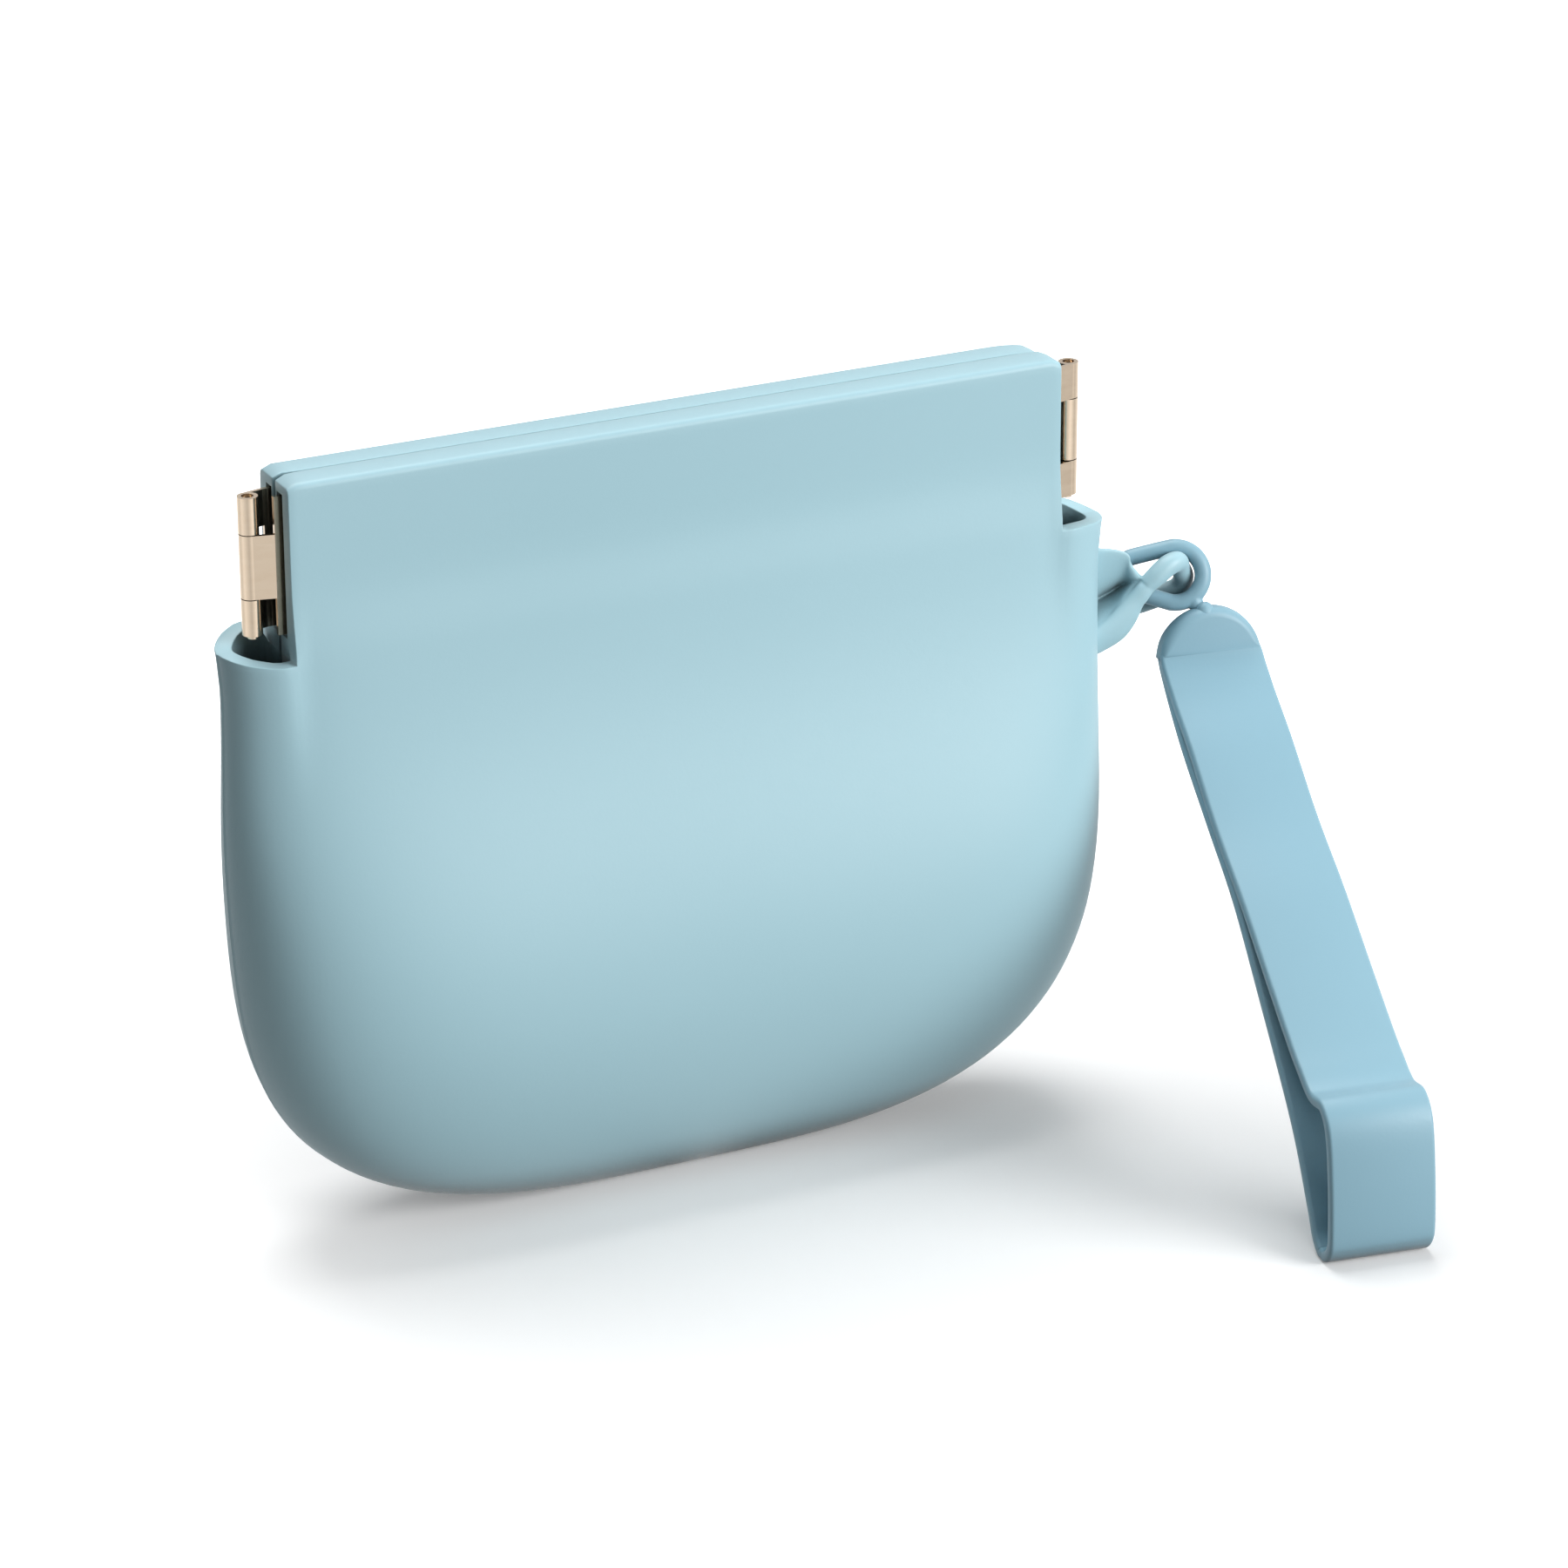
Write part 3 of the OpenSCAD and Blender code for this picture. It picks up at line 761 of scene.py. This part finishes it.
def build_pad():
    """The band's round top end, where its layers are one. Its edges get sharper towards the strip."""
    levels = [(PAD_HALF - PAD_ROUND + PAD_ROUND * math.sin(a), PAD_ROUND * (1 - math.cos(a)))
              for a in np.radians(PAD_ANGLES)]
    levels += [(-q, inset) for q, inset in reversed(levels)]
    points = []
    for q, inset in levels:
        low = math.asin((PAD_LOW + inset - PAD_RISE) / (BAND_W / 2))
        for k in range(PAD_POINTS):
            a = low + (math.pi - 2 * low) * k / (PAD_POINTS - 1)
            t = pad_share(PAD_RISE + BAND_W / 2 * math.sin(a))
            radius = BAND_W / 2 + PAD_PROUD - inset * (STRIP_ROUND / PAD_ROUND * (1 - t) + t)
            z = PAD_RISE + radius * math.sin(a)
            depth = q + PAD_LEAN * max(0.0, -z) if q > 0 else q * (PAD_BACK_LOW * (1 - t) + t)
            points.append(band_place(radius * math.cos(a), PAD_MIDDLE + depth, z))
    return points, ring_faces(len(levels), PAD_POINTS)


def band_section(half, thick):
    """A loop across the strip, with round edges: offsets across the width and through the thickness."""
    r = STRIP_ROUND
    loop = []
    for cx, cy, start in ((half - r, thick - r, 0), (-half + r, thick - r, 90),
                          (-half + r, -thick + r, 180), (half - r, -thick + r, 270)):
        for k in range(CORNER_STEPS + 1):
            a = math.radians(start + 90 * k / CORNER_STEPS)
            loop.append((cx + r * math.cos(a), cy + r * math.sin(a)))
    return loop


def build_band():
    line = band_line()
    forward, across, up = band_axes()
    points = []
    for i, (q, z) in enumerate(line):
        d = unit(line[min(i + 1, len(line) - 1)] - line[max(i - 1, 0)])
        normal = forward * d[1] - up * d[0]
        centre = band_place(0, q, z)
        loop = band_section(band_half_width(z), BAND_T / 2)
        points += [centre + across * a + normal * b for a, b in loop]
    strip = (points, ring_faces(len(line), 4 * (CORNER_STEPS + 1)))
    return join_parts("strap_band_piece", [strip, build_pad(), build_bead()])


def build_bead():
    """The neck's bead, drawn out where it runs into the band's top end."""
    rows = [(*(np.array(NECK) + np.array((0.0, -y, z))), r) for y, z, r in BEAD_ROWS]
    return swept(rows, np.array((1.0, 0.0, 0.0)), SHORT_STEPS)


# ---------------------------------------------------------------- materials

# Colours of the pouch, the strap and the gold, each as the two ends of its clouds or lines
BODY_COLOURS = (168, 207, 218), (174, 212, 223)
# The strap's colours are the pouch's silicone made darker: painted shade
STRAP_SHADED_COLOURS = (138, 179, 196), (144, 185, 202)
GOLD_COLOURS = (226, 206, 182), (230, 211, 188)
# Painted shade in hollows: reach in metres, share of open sky that counts as deep and as clear, what is left
# of the colour
SKIN_REACH, SKIN_DEEP, BODY_CLEAR, STRAP_CLEAR, SKIN_DARKEST = 0.012, 0.05, 0.6, 0.4, 0.12
GOLD_REACH, GOLD_DEEP, GOLD_CLEAR, GOLD_DARKEST = 0.003, 0.1, 0.55, 0.1
HOLLOW_SAMPLES = 6
# The skin's clouds and grain and the gold's drawing lines, as noise
CLOUD_SCALE, GRAIN_SCALE, LINE_SCALE, DETAIL = 18, 2600, 1500, 2
CLOUD_SPAN, RELIEF_SPAN, LINE_STRETCH = (0.2, 0.8), (0.3, 0.7), (0.05, 1, 1)
# Roughness at both ends of the grain or lines, and the bump's strength and height
SKIN_ROUGHNESS, GOLD_ROUGHNESS = (0.40, 0.50), (0.17, 0.23)
SKIN_BUMP, GOLD_BUMP = (0.12, 0.00006), (0.04, 0.00001)
SHEEN, SHEEN_ROUGHNESS, SPECULAR = 0.12, 0.5, 0.5


def new_material(name):
    material = bpy.data.materials.new(name)
    material.use_nodes = True
    nodes = material.node_tree.nodes
    shader = next(n for n in nodes if n.type == "BSDF_PRINCIPLED")
    return material, nodes, material.node_tree.links, shader


def noise(nodes, links, coords, scale, stretch=(1, 1, 1)):
    mapping = nodes.new("ShaderNodeMapping")
    mapping.inputs["Scale"].default_value = stretch
    links.new(coords.outputs["Object"], mapping.inputs["Vector"])
    texture = nodes.new("ShaderNodeTexNoise")
    texture.inputs["Scale"].default_value = scale
    texture.inputs["Detail"].default_value = DETAIL
    links.new(mapping.outputs["Vector"], texture.inputs["Vector"])
    return texture


def ramp(nodes, links, source, span, colours):
    """A change from one colour to the other over a span of the noise."""
    node = nodes.new("ShaderNodeValToRGB")
    for element, place, colour in zip(node.color_ramp.elements, span, colours):
        element.position, element.color = place, (*colour, 1)
    links.new(source.outputs["Fac"], node.inputs["Fac"])
    return node


def srgb(r, g, b):
    """Linear colour of a display's value from 0 to 255."""
    def channel(v):
        v /= 255
        return v / 12.92 if v <= 0.04045 else ((v + 0.055) / 1.055) ** 2.4
    return channel(r), channel(g), channel(b)


def set_values(node, values):
    for name, value in values.items():
        node.inputs[name].default_value = value


def shade_hollows(nodes, links, colour, socket, reach, deep, clear, darkest):
    """Paints shade into the colour in narrow hollows, where light comes from few sides."""
    open_share = nodes.new("ShaderNodeAmbientOcclusion")
    open_share.samples = HOLLOW_SAMPLES
    open_share.inputs["Distance"].default_value = reach
    scale = nodes.new("ShaderNodeMapRange")
    scale.interpolation_type = "SMOOTHSTEP"
    set_values(scale, {"From Min": deep, "From Max": clear, "To Min": darkest, "To Max": 1.0})
    links.new(open_share.outputs["AO"], scale.inputs["Value"])
    mix = nodes.new("ShaderNodeMix")
    mix.data_type, mix.blend_type = "RGBA", "MULTIPLY"
    mix.inputs[0].default_value = 1.0
    links.new(colour.outputs["Color"], mix.inputs[6])
    links.new(scale.outputs[0], mix.inputs[7])
    links.new(mix.outputs[2], socket)


def add_relief(nodes, links, shader, source, roughness, bump):
    """Roughness and a very low bump that follow one noise."""
    gloss = ramp(nodes, links, source, RELIEF_SPAN, [(value,) * 3 for value in roughness])
    links.new(gloss.outputs["Color"], shader.inputs["Roughness"])
    node = nodes.new("ShaderNodeBump")
    strength, height = bump
    set_values(node, {"Strength": strength, "Distance": height})
    links.new(source.outputs["Fac"], node.inputs["Height"])
    links.new(node.outputs["Normal"], shader.inputs["Normal"])


def silicone(name, colours, clear):
    """Moulded silicone: a dry satin skin with a fine grain, faint clouds in its colour and painted shade in
    its hollows.
    """
    material, nodes, links, shader = new_material(name)
    coords = nodes.new("ShaderNodeTexCoord")
    clouds = noise(nodes, links, coords, CLOUD_SCALE)
    colour = ramp(nodes, links, clouds, CLOUD_SPAN, [srgb(*c) for c in colours])
    base = shader.inputs["Base Color"]
    shade_hollows(nodes, links, colour, base, SKIN_REACH, SKIN_DEEP, clear, SKIN_DARKEST)
    grain = noise(nodes, links, coords, GRAIN_SCALE)
    add_relief(nodes, links, shader, grain, SKIN_ROUGHNESS, SKIN_BUMP)
    set_values(shader, {"Sheen Weight": SHEEN, "Sheen Roughness": SHEEN_ROUGHNESS,
                        "Specular IOR Level": SPECULAR})
    return material


def gold_metal(name):
    """Polished gold plating on spring steel, with very faint drawing lines and painted shade in its gaps."""
    material, nodes, links, shader = new_material(name)
    coords = nodes.new("ShaderNodeTexCoord")
    lines = noise(nodes, links, coords, LINE_SCALE, LINE_STRETCH)
    colour = ramp(nodes, links, lines, RELIEF_SPAN, [srgb(*c) for c in GOLD_COLOURS])
    base = shader.inputs["Base Color"]
    shade_hollows(nodes, links, colour, base, GOLD_REACH, GOLD_DEEP, GOLD_CLEAR, GOLD_DARKEST)
    add_relief(nodes, links, shader, lines, GOLD_ROUGHNESS, GOLD_BUMP)
    shader.inputs["Metallic"].default_value = 1.0
    return material


def set_material(obj, material):
    obj.data.materials.clear()
    obj.data.materials.append(material)


# ---------------------------------------------------------------- floor, lamps

# How bright the room is that polished metal mirrors, by direction: place round the object from 0 to 1
ROOM = ((0.0, 0.95), (0.16, 0.47), (0.3, 1.0), (0.42, 0.42), (0.55, 0.95), (0.68, 0.58), (0.8, 1.1),
        (0.92, 0.62), (1.0, 0.95))
# Floor: half its side, its roughness, and its paleness as other rays and as the camera see it
FLOOR_HALF, FLOOR_ROUGHNESS, FLOOR_SEEN_BY_OTHERS, FLOOR_SEEN = 3.0, 0.9, 0.2, 0.9
# Round this place on the floor the shadow stays; between the two distances the floor's glow grows
SHADOW_MIDDLE = (0.03, -0.015, 0.0)
GLOW_NEAR, GLOW_FAR, GLOW_LEAST, GLOW_MOST = 0.045, 0.165, 0.15, 1.0
# Square lamps, with their place, size and power, all turned to one place
LAMPS = (("key", (0.62, -0.8, 0.4), 0.6, 10.9), ("top", (0.05, 0.3, 0.95), 0.6, 6.4))
LAMP_TARGET = (0.01, 0, 0.045)
# Strength of the world as other rays and as the camera see it
WORLD_LIGHT, WORLD_SEEN = 0.19, 1.0


def studio_room(nodes, links, space):
    """A studio with pale screens and gaps between them, seen by glossy rays only."""
    coords = nodes.new("ShaderNodeTexCoord")
    turn = nodes.new("ShaderNodeTexGradient")
    turn.gradient_type = "RADIAL"
    links.new(coords.outputs[space], turn.inputs["Vector"])
    stops = nodes.new("ShaderNodeValToRGB")
    elements = stops.color_ramp.elements
    while len(elements) < len(ROOM):
        elements.new(0.5)
    for element, (place, level) in zip(elements, ROOM):
        element.position, element.color = place, (level, level, level, 1)
    links.new(turn.outputs["Fac"], stops.inputs["Fac"])
    return stops.outputs["Color"]


def by_camera_ray(nodes, links, rays, others, camera):
    """A value that camera rays see, and another that all other rays see."""
    node = nodes.new("ShaderNodeMapRange")
    set_values(node, {"To Min": others, "To Max": camera})
    links.new(rays.outputs["Is Camera Ray"], node.inputs["Value"])
    return node.outputs[0]


def floor_glow(nodes, links, rays):
    """Strength of the floor's light: white far from the object for the camera, the room for glossy rays."""
    coords = nodes.new("ShaderNodeTexCoord")
    far = nodes.new("ShaderNodeVectorMath")
    far.operation = "DISTANCE"
    far.inputs[1].default_value = SHADOW_MIDDLE
    links.new(coords.outputs["Object"], far.inputs[0])
    fade = nodes.new("ShaderNodeMapRange")
    fade.interpolation_type = "SMOOTHSTEP"
    set_values(fade, {"From Min": GLOW_NEAR, "From Max": GLOW_FAR, "To Min": GLOW_LEAST, "To Max": GLOW_MOST})
    links.new(far.outputs["Value"], fade.inputs["Value"])
    seen = nodes.new("ShaderNodeMath")
    seen.operation = "MULTIPLY"
    links.new(rays.outputs["Is Camera Ray"], seen.inputs[0])
    links.new(fade.outputs[0], seen.inputs[1])
    mirrored = nodes.new("ShaderNodeMath")
    mirrored.operation = "MULTIPLY_ADD"
    links.new(rays.outputs["Is Glossy Ray"], mirrored.inputs[0])
    links.new(studio_room(nodes, links, "Object"), mirrored.inputs[1])
    links.new(seen.outputs[0], mirrored.inputs[2])
    return mirrored.outputs[0]


def floor_material():
    material, nodes, links, shader = new_material("floor")
    rays = nodes.new("ShaderNodeLightPath")
    pale = by_camera_ray(nodes, links, rays, FLOOR_SEEN_BY_OTHERS, FLOOR_SEEN)
    links.new(pale, shader.inputs["Base Color"])
    shader.inputs["Roughness"].default_value = FLOOR_ROUGHNESS
    shader.inputs["Specular IOR Level"].default_value = 0.0
    glow = nodes.new("ShaderNodeEmission")
    glow.inputs["Color"].default_value = (1, 1, 1, 1)
    links.new(floor_glow(nodes, links, rays), glow.inputs["Strength"])
    both = nodes.new("ShaderNodeAddShader")
    out = next(n for n in nodes if n.type == "OUTPUT_MATERIAL")
    links.new(shader.outputs[0], both.inputs[0])
    links.new(glow.outputs[0], both.inputs[1])
    links.new(both.outputs[0], out.inputs["Surface"])
    return material


def make_floor():
    half = FLOOR_HALF / MM
    corners = [(-half, -half, 0), (half, -half, 0), (half, half, 0), (-half, half, 0)]
    floor = mesh_object("floor", corners, [[0, 1, 2, 3]], smooth=False)
    set_material(floor, floor_material())


def area_lamp(name, place, size, power):
    data = bpy.data.lights.new(name, "AREA")
    data.shape, data.size, data.energy = "SQUARE", size, power
    lamp = link(bpy.data.objects.new(name, data))
    lamp.location = place
    lamp.rotation_mode = "QUATERNION"
    lamp.rotation_quaternion = (Vector(LAMP_TARGET) - Vector(place)).to_track_quat("-Z", "Y")


def make_world():
    """An even white room, which glossy rays see as the studio."""
    world = bpy.data.worlds.new("world")
    bpy.context.scene.world = world
    world.use_nodes = True
    nodes, links = world.node_tree.nodes, world.node_tree.links
    back = nodes["Background"]
    back.inputs["Color"].default_value = (1, 1, 1, 1)
    rays = nodes.new("ShaderNodeLightPath")
    seen = by_camera_ray(nodes, links, rays, WORLD_LIGHT, WORLD_SEEN)
    mix = nodes.new("ShaderNodeMix")
    links.new(rays.outputs["Is Glossy Ray"], mix.inputs[0])
    links.new(seen, mix.inputs[2])
    links.new(studio_room(nodes, links, "Generated"), mix.inputs[3])
    links.new(mix.outputs[0], back.inputs["Strength"])


# ---------------------------------------------------------------- scene

LEAF_NODES = ("front_leaf_left", "front_leaf_right", "back_leaf_left", "back_leaf_right", "front_leaf_fold",
              "back_leaf_fold", "left_pin", "right_pin")


def main():
    clear_scene()
    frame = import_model()
    make_camera()
    body_skin = silicone("purse_silicone", BODY_COLOURS, BODY_CLEAR)
    # The strap's silicone is the pouch's, darker: painted shade
    strap_shaded_skin = silicone("strap_silicone", STRAP_SHADED_COLOURS, STRAP_CLEAR)
    gold = gold_metal("gold_plated_steel")
    front = build_half("body_front_half", False, False)
    back = build_half("body_back_half", True, True)
    for half, fold in ((front, "front_fold"), (back, "back_fold")):
        set_material(half, body_skin)
        bend_with_mouth(half)
    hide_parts("pouch", "front_lip_left", "front_lip_right")
    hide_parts("back_lip_left", "back_lip_right")
    ear = build_ear()
    set_material(ear, body_skin)
    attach(ear, "body")
    ring = build_ring()
    band = build_band()
    for piece, body, node in ((ring, "ring", "strap_ring"), (band, "band", "strap_band")):
        set_material(piece, strap_shaded_skin)
        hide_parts(node)
        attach(piece, body)
    for node in LEAF_NODES:
        set_material(frame["nodes"][node], gold)
    make_floor()
    for name, place, size, power in LAMPS:
        area_lamp(name, place, size, power)
    make_world()
    bpy.context.scene.view_settings.view_transform = "Standard"


main()
